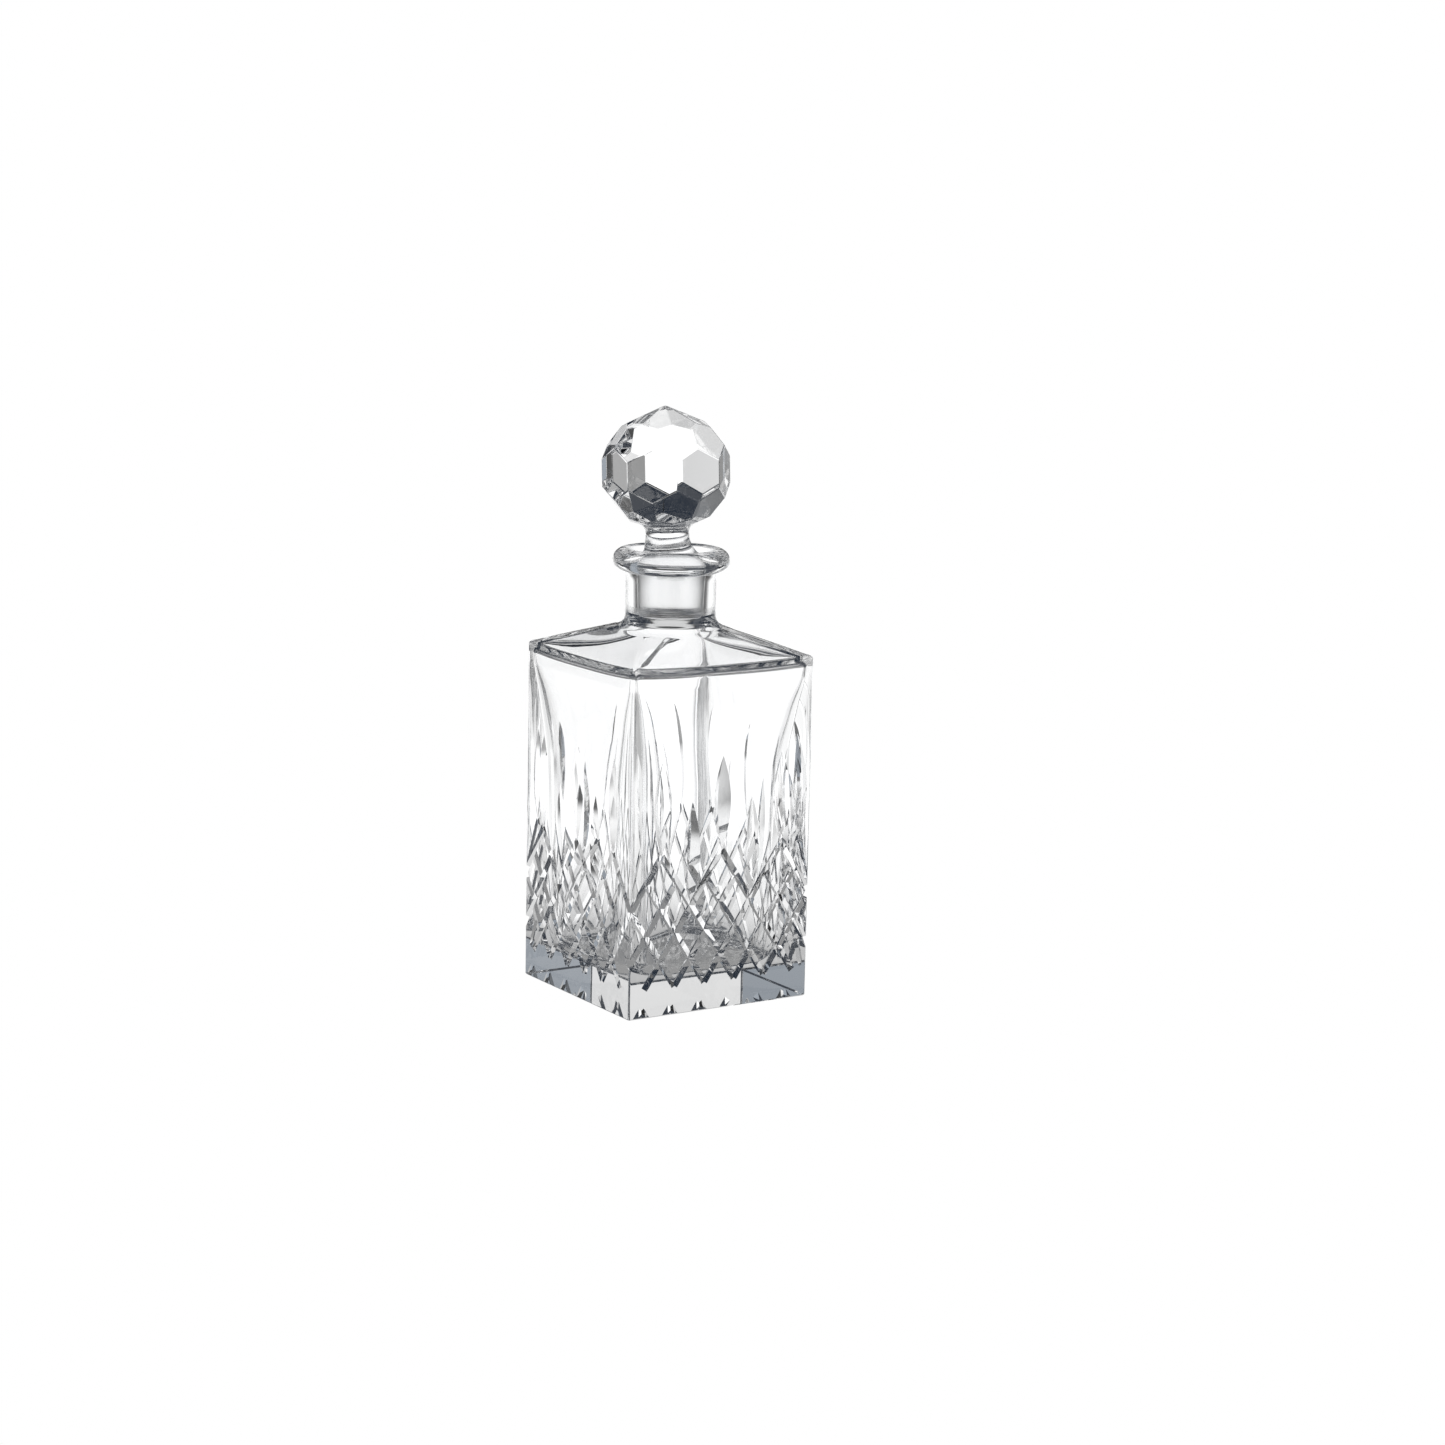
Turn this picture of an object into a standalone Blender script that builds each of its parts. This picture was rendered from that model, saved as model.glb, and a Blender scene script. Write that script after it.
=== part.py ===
"""Cut crystal decanter: a square glass bottle with cut walls and its faceted glass stopper."""

import math

import bmesh
import bpy
from mathutils import Matrix, Vector

MM = 0.001

# Bottle, outside
SIDE = 90.0 * MM
HALF = SIDE / 2
CORNER_HEIGHT = 149.6 * MM
FACE_HEIGHT = 146.8 * MM
EDGE_RADIUS = 0.8 * MM
BASE_BEVEL = 0.5 * MM
EDGE_INSET = 2.0 * MM
EDGE_FACE_RISE = 3.05 * MM
EDGE_CORNER_RISE = 1.4 * MM
EDGE_ARC = (0, 24, 48, 72)
EDGE_ARC_INSET = 2.6 * MM
EDGE_ARC_FACE_RISE = 3.2 * MM
EDGE_ARC_CORNER_RISE = 1.5 * MM
EDGE_ARC_CORNER = 1.6 * MM
SHOULDER_CORNER = 2.4 * MM
SHOULDER_BOW = 0.92
NECK_ROOT_HEIGHT = 160.5 * MM
NECK_ROOT_RADIUS = 23.0 * MM
NECK_PROFILE = ((21.2, 161.6), (20.2, 163.2), (19.7, 165.4), (19.6, 168.0), (19.6, 182.0))
LIP_BOTTOM = 184.0 * MM
LIP_TOP = 194.2 * MM
LIP_RADIUS = 25.4 * MM
LIP_BULGE = 1.1
LIP_ARC = (-90, -62, -36, -12, 12, 36, 62, 90)

# Bottle, inside: (radius, height) or (half width, corner power, height), in millimetres
MOUTH_BOWL = ((19.2, 193.9), (18.0, 192.9), (16.6, 191.2), (15.6, 190.2))
SEAT_TOP_RADIUS = 15.2 * MM
SEAT_TOP = 189.6 * MM
SEAT_BOTTOM_RADIUS = 14.2 * MM
SEAT_BOTTOM = 166.0 * MM
FUNNEL = ((14.6, 165.0), (15.6, 163.1), (17.0, 161.3), (19.0, 159.6), (21.8, 157.8))
ROOF_RADIUS = 21.8 * MM
ROOF_TOP = 157.6 * MM
ROOF_HALF = 42.0 * MM
ROOF_CORNER = 3.4 * MM
ROOF_FACE_HEIGHT = 146.8 * MM
ROOF_CORNER_HEIGHT = 148.0 * MM
CORNER_SPREAD = 2.2
WALL_PROFILE = (
    (43.3, 22.0, 141.5),
    (42.4, 11.5, 132.0),
    (41.1, 7.8, 120.0),
    (39.8, 6.0, 107.0),
    (39.2, 5.5, 95.0),
    (38.7, 5.2, 70.0),
    (38.1, 5.0, 45.0),
    (37.4, 5.0, 26.0),
    (36.0, 4.8, 19.5),
    (33.0, 4.4, 15.8),
    (27.0, 4.0, 14.5),
)

# Cuts in the four faces
CELLS = 12
CELL_WIDTH = SIDE / CELLS
CELL_HEIGHT = 11.4 * MM
TOOTH_TIP_HEIGHT = 12.6 * MM
GROOVE_WIDTH = 3.2 * MM
GROOVE_DEPTH = 1.4 * MM
GROOVE_RUN_OUT = 3.0 * MM
CUTTER_PROUD = 2.0 * MM
APEX_ROW = 5
VALLEY_ROW = 3
TALL_LEAF_COLUMNS = (2, 6, 10)
SHORT_LEAF_COLUMNS = (4, 8)
LEAF_WIDTH = 8.4 * MM
LEAF_DEPTH = 3.7 * MM
LEAF_WEB = 2.2
LEAF_SWEEP = 1.35
TALL_LEAF_LENGTH = 41.0 * MM
SHORT_LEAF_LENGTH = 45.0 * MM

# Stopper
FIT_GAP = 0.3 * MM
PLUG_BOTTOM = 166.8 * MM
PLUG_END_BEVEL = 1.0 * MM
WAIST_PROFILE = (
    (13.9, 191.0),
    (11.9, 192.4),
    (10.6, 194.4),
    (9.8, 197.2),
    (9.4, 200.4),
    (9.6, 202.2),
    (10.9, 204.0),
)
BALL_HEIGHT = 227.3 * MM
BALL_FLAT_RADIUS = 25.85 * MM
BALL_EDGE_HALF_HEIGHT = 5.9 * MM
BALL_APEX = 28.3 * MM
BALL_SIDES = 8
BALL_FOOT = 21.8 * MM
BALL_FOOT_RADIUS = 13.4 * MM
BALL_BLANK = 80.0 * MM
BALL_FOOT_MARGIN = 0.4 * MM
SHANK_OVERLAP = 6.0 * MM
UPPER_TILT = 36.5
TOP_TILT = 65.0
LOWER_TILT = 37.5
FOOT_TILT = 67.0
LEAN = 2.0
LEAN_TOWARDS = 148.0
LEAN_PIVOT = 144.0 * MM
LEAN_START = 187.0 * MM
LEAN_END = 199.0 * MM

# Glass
GLASS_COLOUR = (0.98, 0.985, 0.99, 1.0)
GLASS_ROUGHNESS = 0.02
GLASS_IOR = 1.55

# Mesh density
SIDE_POINTS = 9
CORNER_POINTS = 3
ROUND_POINTS = 4 * (SIDE_POINTS + CORNER_POINTS)
LEAF_STEPS = 10
SHANK_POINTS = 40
SHARP_ANGLE = 25.0
CUT_TOLERANCE = 1e-7


def clear_scene():
    """Remove every object of the start-up scene."""
    for old in list(bpy.data.objects):
        bpy.data.objects.remove(old)


def glass(name):
    """Clear lead crystal as a Principled material."""
    material = bpy.data.materials.new(name)
    material.use_nodes = True
    shader = material.node_tree.nodes["Principled BSDF"]
    shader.inputs["Base Color"].default_value = GLASS_COLOUR
    shader.inputs["Roughness"].default_value = GLASS_ROUGHNESS
    shader.inputs["Metallic"].default_value = 0.0
    shader.inputs["IOR"].default_value = GLASS_IOR
    shader.inputs["Transmission Weight"].default_value = 1.0
    return material


def mesh_object(name, mesh_data, material):
    """Link a finished bmesh into the scene as a named object with one material."""
    mesh = bpy.data.meshes.new(name)
    bmesh.ops.recalc_face_normals(mesh_data, faces=mesh_data.faces)
    mesh_data.to_mesh(mesh)
    mesh_data.free()
    mesh.materials.append(material)
    made = bpy.data.objects.new(name, mesh)
    bpy.context.scene.collection.objects.link(made)
    return made


def loft(mesh_data, rings):
    """Skin a stack of rings that have the same number of points, and cap both ends."""
    levels = [[mesh_data.verts.new(point) for point in ring] for ring in rings]
    count = len(levels[0])
    for lower, upper in zip(levels, levels[1:]):
        for index in range(count):
            after = (index + 1) % count
            mesh_data.faces.new((lower[index], lower[after], upper[after], upper[index]))
    mesh_data.faces.new(levels[0])
    mesh_data.faces.new(levels[-1])


def quadrant_points(half, corner):
    """One quarter of a rounded square, from the +X face round the +X +Y corner."""
    straight = half - corner
    points = []
    for step in range(SIDE_POINTS):
        share = 2 * step / (SIDE_POINTS - 1) - 1
        points.append((half, share * straight))
    for step in range(1, CORNER_POINTS + 1):
        turn = math.radians(90) * step / (CORNER_POINTS + 1)
        points.append((straight + corner * math.cos(turn), straight + corner * math.sin(turn)))
    return points


def section(half, corner, radius, blend, face_z, corner_z):
    """A ring between a rounded square and a circle, at one height or rising to its corners."""
    ring = []
    quarter = quadrant_points(half, corner)
    for side in range(4):
        turn = side * math.radians(90)
        for index, (x, y) in enumerate(quarter):
            angle = 2 * math.pi * (index - (SIDE_POINTS - 1) / 2) / ROUND_POINTS
            px = x * (1 - blend) + radius * math.cos(angle) * blend
            py = y * (1 - blend) + radius * math.sin(angle) * blend
            lift = min(1.0, abs(min(x, y) / half)) ** 3
            z = face_z + (corner_z - face_z) * lift
            ring.append(
                (
                    px * math.cos(turn) - py * math.sin(turn),
                    px * math.sin(turn) + py * math.cos(turn),
                    z,
                )
            )
    return ring


def square_ring(half, corner, z):
    """A level rounded-square ring."""
    return section(half, corner, 0.0, 0.0, z, z)


def circle_ring(radius, z):
    """A level round ring."""
    return section(HALF, EDGE_RADIUS, radius, 1.0, z, z)


def shoulder_edge_rings():
    """The rounded edge between the faces and the shoulder, tighter at the corners."""
    rings = []
    for degrees in EDGE_ARC:
        turn = math.radians(degrees)
        inset = EDGE_ARC_INSET * (1 - math.cos(turn))
        face_z = FACE_HEIGHT + EDGE_ARC_FACE_RISE * math.sin(turn)
        corner_z = CORNER_HEIGHT + EDGE_ARC_CORNER_RISE * math.sin(turn)
        corner = EDGE_RADIUS + EDGE_ARC_CORNER * math.sin(turn)
        rings.append(section(HALF - inset, corner, 0.0, 0.0, face_z, corner_z))
    return rings


def shoulder_rings():
    """The sloping shoulder, from the square body to the round root of the neck."""
    rings = []
    for blend in (0.2, 0.4, 0.6, 0.8, 1.0):
        rise = blend ** SHOULDER_BOW
        face_z = FACE_HEIGHT + EDGE_FACE_RISE
        corner_z = CORNER_HEIGHT + EDGE_CORNER_RISE
        face_z += (NECK_ROOT_HEIGHT - face_z) * rise
        corner_z += (NECK_ROOT_HEIGHT - corner_z) * rise
        half = HALF - EDGE_INSET
        rings.append(section(half, SHOULDER_CORNER, NECK_ROOT_RADIUS, blend, face_z, corner_z))
    return rings


def turned_rings(profile):
    """Round rings from (radius, height) pairs in millimetres."""
    return [circle_ring(radius * MM, z * MM) for radius, z in profile]


def lip_rings():
    """The rounded lip ring, a bulge on the neck's top."""
    middle = (LIP_BOTTOM + LIP_TOP) / 2
    half_height = (LIP_TOP - LIP_BOTTOM) / 2
    bulge = half_height * LIP_BULGE
    centre = LIP_RADIUS - bulge
    rings = []
    for degrees in LIP_ARC:
        turn = math.radians(degrees)
        rings.append(
            circle_ring(centre + bulge * math.cos(turn), middle + half_height * math.sin(turn))
        )
    return rings


def seat_rings():
    """The ground seat of the stopper."""
    return [
        circle_ring(SEAT_TOP_RADIUS, SEAT_TOP),
        circle_ring(SEAT_BOTTOM_RADIUS, SEAT_BOTTOM),
    ]


def roof_rings():
    """The inside of the shoulder, at an even distance under the outside."""
    rings = []
    for blend in (0.8, 0.6, 0.4, 0.2, 0.0):
        rise = blend ** SHOULDER_BOW
        face_z = ROOF_FACE_HEIGHT + (ROOF_TOP - ROOF_FACE_HEIGHT) * rise
        corner_z = ROOF_CORNER_HEIGHT + (ROOF_TOP - ROOF_CORNER_HEIGHT) * rise
        rings.append(section(ROOF_HALF, ROOF_CORNER, ROOF_RADIUS, blend, face_z, corner_z))
    return rings


def squircle_ring(half, power, z):
    """A level ring of a square whose sides bow gently into round corners."""
    ring = []
    quarter = quadrant_points(half, CORNER_SPREAD * half / power)
    for side in range(4):
        turn = side * math.radians(90)
        for x, y in quarter:
            reach = (abs(x) ** power + abs(y) ** power) ** (-1 / power)
            px = x * reach * half
            py = y * reach * half
            ring.append(
                (
                    px * math.cos(turn) - py * math.sin(turn),
                    px * math.sin(turn) + py * math.cos(turn),
                    z,
                )
            )
    return ring


def wall_rings():
    """The blown walls: thin at the shoulder, thicker and rounder towards the floor."""
    return [squircle_ring(half * MM, power, z * MM) for half, power, z in WALL_PROFILE]


def bottle_blank(material):
    """The uncut bottle: one skin from the base over the lip and down to the cavity floor."""
    rings = [
        square_ring(HALF - BASE_BEVEL, EDGE_RADIUS, 0.0),
        square_ring(HALF, EDGE_RADIUS, BASE_BEVEL),
    ]
    rings += shoulder_edge_rings()
    rings += shoulder_rings()
    rings += turned_rings(NECK_PROFILE)
    rings += lip_rings()
    rings += turned_rings(MOUTH_BOWL)
    rings += seat_rings()
    rings += turned_rings(FUNNEL)
    rings += roof_rings()
    rings += wall_rings()
    mesh_data = bmesh.new()
    loft(mesh_data, rings)
    return mesh_object("bottle", mesh_data, material)


def face_frame(side):
    """Corner at the left end of a face, its width direction and its outward direction."""
    turn = side * math.radians(90)
    along = Vector((math.cos(turn), math.sin(turn), 0.0))
    outward = Vector((math.sin(turn), -math.cos(turn), 0.0))
    return outward * HALF - along * HALF, along, outward


def lattice_point(column, row):
    """Position on a face of a crossing of the cut lattice: (width, height)."""
    return Vector((column * CELL_WIDTH, TOOTH_TIP_HEIGHT + row * CELL_HEIGHT))


def lattice_cuts():
    """Start and end of each groove on one face, as lattice columns and rows."""
    cuts = set()
    for apex in range(-2, CELLS + 3, 4):
        for way in (-1, 1):
            cuts.add(((apex, APEX_ROW), (apex + way * APEX_ROW, 0)))
    for start in range(-1, CELLS + 2, 2):
        for way in (-1, 1):
            cuts.add(((start, APEX_ROW - 1), (start + way * (APEX_ROW - 1), 0)))
    return sorted(cut for cut in cuts if on_face(cut))


def on_face(cut):
    """Whether some of a cut lies between the face's two edges."""
    low, high = sorted((cut[0][0], cut[1][0]))
    return high > 0 and low < CELLS


def add_groove(mesh_data, side, start, end):
    """A boat-shaped V cutter between two points of a face, its floor rising at both ends."""
    origin, along, outward = face_frame(side)
    span = end - start
    unit = span.normalized()
    across = Vector((-unit.y, unit.x))
    steep = GROOVE_RUN_OUT / GROOVE_DEPTH
    half_top = GROOVE_WIDTH / 2 * (1 + CUTTER_PROUD / GROOVE_DEPTH)

    def place(point, out):
        spot = origin + along * point.x + outward * out
        return Vector((spot.x, spot.y, point.y))

    tips = []
    for corner, way in ((start, -1), (end, 1)):
        outer = corner + unit * way * CUTTER_PROUD * steep
        tips.append(mesh_data.verts.new(place(outer + across * half_top, CUTTER_PROUD)))
        tips.append(mesh_data.verts.new(place(outer - across * half_top, CUTTER_PROUD)))
    keel = [
        mesh_data.verts.new(place(start + unit * GROOVE_RUN_OUT, -GROOVE_DEPTH)),
        mesh_data.verts.new(place(end - unit * GROOVE_RUN_OUT, -GROOVE_DEPTH)),
    ]
    mesh_data.faces.new((tips[0], tips[1], tips[3], tips[2]))
    mesh_data.faces.new((tips[0], tips[2], keel[1], keel[0]))
    mesh_data.faces.new((tips[3], tips[1], keel[0], keel[1]))
    mesh_data.faces.new((tips[1], tips[0], keel[0]))
    mesh_data.faces.new((tips[2], tips[3], keel[1]))


def add_leaf(mesh_data, side, column, foot, length):
    """The rim of a V-edged cutting wheel, which leaves a pointed upright leaf."""
    origin, along, outward = face_frame(side)
    reach = length / 2
    wheel = (reach ** 2 + LEAF_DEPTH ** 2) / (2 * LEAF_DEPTH)
    flank = LEAF_WIDTH / 2 / LEAF_DEPTH
    web = LEAF_DEPTH * LEAF_WEB
    middle = origin + along * column * CELL_WIDTH
    middle = Vector((middle.x, middle.y, foot + reach)) + outward * (wheel - LEAF_DEPTH)
    sweep = math.asin(min(1.0, reach * LEAF_SWEEP / wheel))
    rows = []
    for step in range(LEAF_STEPS + 1):
        turn = sweep * (2 * step / LEAF_STEPS - 1)
        direction = Vector((0.0, 0.0, math.sin(turn))) - outward * math.cos(turn)
        rim = middle + direction * wheel
        inner = middle + direction * (wheel - web)
        points = (rim, inner + along * web * flank, inner - along * web * flank)
        rows.append([mesh_data.verts.new(point) for point in points])
    for lower, upper in zip(rows, rows[1:]):
        for index in range(3):
            after = (index + 1) % 3
            mesh_data.faces.new((lower[index], lower[after], upper[after], upper[index]))
    mesh_data.faces.new(rows[0])
    mesh_data.faces.new(rows[-1])


def smooth_round(piece):
    """Shade a piece smooth where it is round, and flat on its upright plane faces."""
    piece.data.shade_smooth()
    piece.data.set_sharp_from_angle(angle=math.radians(SHARP_ANGLE))
    for polygon in piece.data.polygons:
        if max(abs(polygon.normal.x), abs(polygon.normal.y)) > 0.9999:
            polygon.use_smooth = False


def hide_cutter(cutter):
    """Mark a cutter so that it isn't part of the model."""
    cutter.hide_render = True
    cutter.display_type = "WIRE"


def subtract(target, cutter):
    """Cut one object out of another with an exact Boolean."""
    cut = target.modifiers.new(cutter.name, "BOOLEAN")
    cut.operation = "DIFFERENCE"
    cut.object = cutter
    cut.solver = "EXACT"
    cut.use_self = True
    hide_cutter(cutter)


def groove_cutter(material):
    """Every straight V groove of the four faces."""
    mesh_data = bmesh.new()
    for side in range(4):
        for start, end in lattice_cuts():
            add_groove(mesh_data, side, lattice_point(*start), lattice_point(*end))
    return mesh_object("groove_cutter", mesh_data, material)


def leaf_cutter(material):
    """Every upright leaf: tall ones on the apexes, short ones over the valleys."""
    mesh_data = bmesh.new()
    apex_height = TOOTH_TIP_HEIGHT + APEX_ROW * CELL_HEIGHT
    valley_height = TOOTH_TIP_HEIGHT + VALLEY_ROW * CELL_HEIGHT
    for side in range(4):
        for column in TALL_LEAF_COLUMNS:
            add_leaf(mesh_data, side, column, apex_height, TALL_LEAF_LENGTH)
        for column in SHORT_LEAF_COLUMNS:
            add_leaf(mesh_data, side, column, valley_height, SHORT_LEAF_LENGTH)
    return mesh_object("leaf_cutter", mesh_data, material)


def turned_profile(mesh_data, profile, points):
    """A solid of revolution about the Z axis from (radius, height) pairs."""
    rings = []
    for radius, z in profile:
        turns = [2 * math.pi * index / points for index in range(points)]
        rings.append([(radius * math.cos(a), radius * math.sin(a), z) for a in turns])
    loft(mesh_data, rings)


def plug_radius(z):
    """Radius of the ground plug, parallel to the seat."""
    share = (z - SEAT_BOTTOM) / (SEAT_TOP - SEAT_BOTTOM)
    return SEAT_BOTTOM_RADIUS + (SEAT_TOP_RADIUS - SEAT_BOTTOM_RADIUS) * share - FIT_GAP


def lean(mesh_data):
    """Tip the stopper above its plug, because the hand-cut ball isn't true to the plug."""
    side = math.radians(LEAN_TOWARDS)
    axis = Vector((-math.sin(side), math.cos(side), 0.0))
    pivot = Vector((0.0, 0.0, LEAN_PIVOT))
    tip = Matrix.Rotation(math.radians(LEAN), 3, axis)
    for vert in mesh_data.verts:
        share = (vert.co.z - LEAN_START) / (LEAN_END - LEAN_START)
        share = min(1.0, max(0.0, share))
        share = share * share * (3 - 2 * share)
        leaned = pivot + tip @ (vert.co - pivot)
        vert.co = vert.co.lerp(leaned, share)


def stopper_shank(material):
    """The turned lower part: ground plug, waist and the flare into the ball."""
    foot = BALL_HEIGHT - BALL_FOOT
    profile = [
        (plug_radius(PLUG_BOTTOM) - PLUG_END_BEVEL, PLUG_BOTTOM),
        (plug_radius(PLUG_BOTTOM), PLUG_BOTTOM + PLUG_END_BEVEL),
        (plug_radius(SEAT_TOP), SEAT_TOP),
    ]
    profile += [(radius * MM, z * MM) for radius, z in WAIST_PROFILE]
    profile.append((BALL_FOOT_RADIUS, foot))
    profile.append((BALL_FOOT_RADIUS, foot + SHANK_OVERLAP))
    mesh_data = bmesh.new()
    turned_profile(mesh_data, profile, SHANK_POINTS)
    lean(mesh_data)
    return mesh_object("shank_blank", mesh_data, material)


def facet_planes():
    """Tilt, offset in half steps and distance from the centre of each ring of facets."""
    corner = BALL_FLAT_RADIUS / math.cos(math.pi / BALL_SIDES)
    rings = [(0.0, 0, BALL_FLAT_RADIUS)]
    for degrees in (UPPER_TILT, -LOWER_TILT):
        tilt = math.radians(abs(degrees))
        reach = corner * math.cos(tilt) + BALL_EDGE_HALF_HEIGHT * math.sin(tilt)
        rings.append((degrees, 1, reach))
    rings.append((TOP_TILT, 0, BALL_APEX * math.sin(math.radians(TOP_TILT))))
    foot = math.radians(FOOT_TILT)
    reach = BALL_FOOT_RADIUS * math.cos(foot) + BALL_FOOT * math.sin(foot)
    rings.append((-FOOT_TILT, 0, reach))
    return rings


def slice_off(mesh_data, spot, normal):
    """Remove what lies beyond a plane and close the cut."""
    geometry = mesh_data.verts[:] + mesh_data.edges[:] + mesh_data.faces[:]
    found = bmesh.ops.bisect_plane(
        mesh_data,
        geom=geometry,
        dist=CUT_TOLERANCE,
        plane_co=spot,
        plane_no=normal,
        clear_outer=True,
    )
    edges = [item for item in found["geom_cut"] if isinstance(item, bmesh.types.BMEdge)]
    if edges:
        bmesh.ops.contextual_create(mesh_data, geom=edges)


def stopper_ball(material):
    """The faceted ball: rings of eight flat facets, pointed at the top."""
    mesh_data = bmesh.new()
    bmesh.ops.create_cube(mesh_data, size=BALL_BLANK)
    for degrees, offset, distance in facet_planes():
        tilt = math.radians(degrees)
        for index in range(BALL_SIDES):
            turn = 2 * math.pi * (index + offset / 2) / BALL_SIDES
            normal = Vector(
                (
                    math.cos(turn) * math.cos(tilt),
                    math.sin(turn) * math.cos(tilt),
                    math.sin(tilt),
                )
            )
            slice_off(mesh_data, normal * distance, normal)
    foot = Vector((0.0, 0.0, -BALL_FOOT - BALL_FOOT_MARGIN))
    slice_off(mesh_data, foot, Vector((0.0, 0.0, -1.0)))
    bmesh.ops.translate(mesh_data, verts=mesh_data.verts, vec=(0.0, 0.0, BALL_HEIGHT))
    lean(mesh_data)
    return mesh_object("stopper", mesh_data, material)


def make_bottle():
    """The bottle with every cut."""
    material = glass("bottle_crystal")
    bottle = bottle_blank(material)
    smooth_round(bottle)
    subtract(bottle, groove_cutter(material))
    subtract(bottle, leaf_cutter(material))


def make_stopper():
    """The flat-faceted ball joined with its turned shank and plug."""
    material = glass("stopper_crystal")
    stopper = stopper_ball(material)
    shank = stopper_shank(material)
    smooth_round(shank)
    join = stopper.modifiers.new("shank", "BOOLEAN")
    join.operation = "UNION"
    join.object = shank
    join.solver = "EXACT"
    hide_cutter(shank)


def main():
    """Build both pieces."""
    clear_scene()
    make_bottle()
    make_stopper()


main()
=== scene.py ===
"""The looks of the cut crystal decanter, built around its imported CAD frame."""

import math

import bmesh
import bpy
import numpy as np
from mathutils import Matrix, Vector


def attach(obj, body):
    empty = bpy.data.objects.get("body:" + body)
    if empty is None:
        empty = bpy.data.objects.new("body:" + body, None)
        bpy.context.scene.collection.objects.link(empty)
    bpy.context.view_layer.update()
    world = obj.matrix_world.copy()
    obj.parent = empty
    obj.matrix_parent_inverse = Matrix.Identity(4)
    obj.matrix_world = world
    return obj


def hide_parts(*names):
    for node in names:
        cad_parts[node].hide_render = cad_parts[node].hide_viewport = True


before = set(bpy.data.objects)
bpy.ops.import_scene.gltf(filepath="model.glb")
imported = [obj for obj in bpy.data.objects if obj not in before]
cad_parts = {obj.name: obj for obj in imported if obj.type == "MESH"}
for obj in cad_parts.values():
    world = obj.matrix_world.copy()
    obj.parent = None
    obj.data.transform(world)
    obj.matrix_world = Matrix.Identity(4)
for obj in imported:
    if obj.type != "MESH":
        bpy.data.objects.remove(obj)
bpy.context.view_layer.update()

MM = 0.001

# Bottle, outside
SIDE = 90.0 * MM
HALF = SIDE / 2
CORNER_HEIGHT = 149.6 * MM
FACE_HEIGHT = 146.8 * MM
EDGE_RADIUS = 0.8 * MM
BASE_BEVEL = 0.5 * MM
EDGE_INSET = 2.0 * MM
EDGE_FACE_RISE = 3.05 * MM
EDGE_CORNER_RISE = 1.4 * MM
EDGE_ARC = 72.0
EDGE_ARC_INSET = 2.6 * MM
EDGE_ARC_FACE_RISE = 3.2 * MM
EDGE_ARC_CORNER_RISE = 1.5 * MM
EDGE_ARC_CORNER = 1.6 * MM
SHOULDER_CORNER = 2.4 * MM
SHOULDER_BOW = 0.92
CORNER_LIFT = 3
NECK_ROOT_HEIGHT = 160.5 * MM
NECK_ROOT_RADIUS = 23.0 * MM
NECK_PROFILE = ((21.2, 161.6), (20.2, 163.2), (19.7, 165.4), (19.6, 168.0), (19.6, 182.0))
LIP_BOTTOM = 184.0 * MM
LIP_TOP = 194.2 * MM
LIP_RADIUS = 25.4 * MM
LIP_BULGE = 1.1

# Bottle, inside: (radius, height) or (half width, corner power, height), in millimetres
MOUTH_BOWL = ((19.2, 193.9), (18.0, 192.9), (16.6, 191.2), (15.6, 190.2))
SEAT_TOP_RADIUS = 15.2 * MM
SEAT_TOP = 189.6 * MM
SEAT_BOTTOM_RADIUS = 14.2 * MM
SEAT_BOTTOM = 166.0 * MM
FUNNEL = ((14.6, 165.0), (15.6, 163.1), (17.0, 161.3), (19.0, 159.6), (21.8, 157.8))
ROOF_RADIUS = 21.8 * MM
ROOF_TOP = 157.6 * MM
ROOF_HALF = 42.0 * MM
ROOF_CORNER = 3.4 * MM
ROOF_FACE_HEIGHT = 146.8 * MM
ROOF_CORNER_HEIGHT = 148.0 * MM
ROOF_EDGE_START = 30.0
ROOF_EDGE_INSET = 2.6 * MM
ROOF_EDGE_DROP = 3.0 * MM
INNER_TOP_HALF = 43.3 * MM
INNER_TOP_CORNER = 3.8 * MM
CORNER_SPREAD = 2.2
WALL_PROFILE = (
    (43.3, 22.0, 141.5),
    (42.4, 11.5, 132.0),
    (41.1, 7.8, 120.0),
    (39.8, 6.0, 107.0),
    (39.2, 5.5, 95.0),
    (38.7, 5.2, 70.0),
    (38.1, 5.0, 45.0),
    (37.4, 5.0, 26.0),
    (36.0, 4.8, 19.5),
    (33.0, 4.4, 15.8),
    (27.0, 4.0, 14.5),
)

# Cuts in the four faces
CELLS = 12
CELL_WIDTH = SIDE / CELLS
CELL_HEIGHT = 11.4 * MM
TOOTH_TIP_HEIGHT = 12.6 * MM
GROOVE_WIDTH = 3.2 * MM
GROOVE_DEPTH = 1.4 * MM
GROOVE_RUN_OUT = 3.0 * MM
CUTTER_PROUD = 2.0 * MM
APEX_ROW = 5
APEX_PITCH = 4
VALLEY_ROW = 3
TALL_LEAF_COLUMNS = (2, 6, 10)
SHORT_LEAF_COLUMNS = (4, 8)
LEAF_WIDTH = 8.4 * MM
LEAF_DEPTH = 3.7 * MM
LEAF_WEB = 2.2
LEAF_SWEEP = 1.35
TALL_LEAF_LENGTH = 41.0 * MM
SHORT_LEAF_LENGTH = 45.0 * MM

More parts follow.
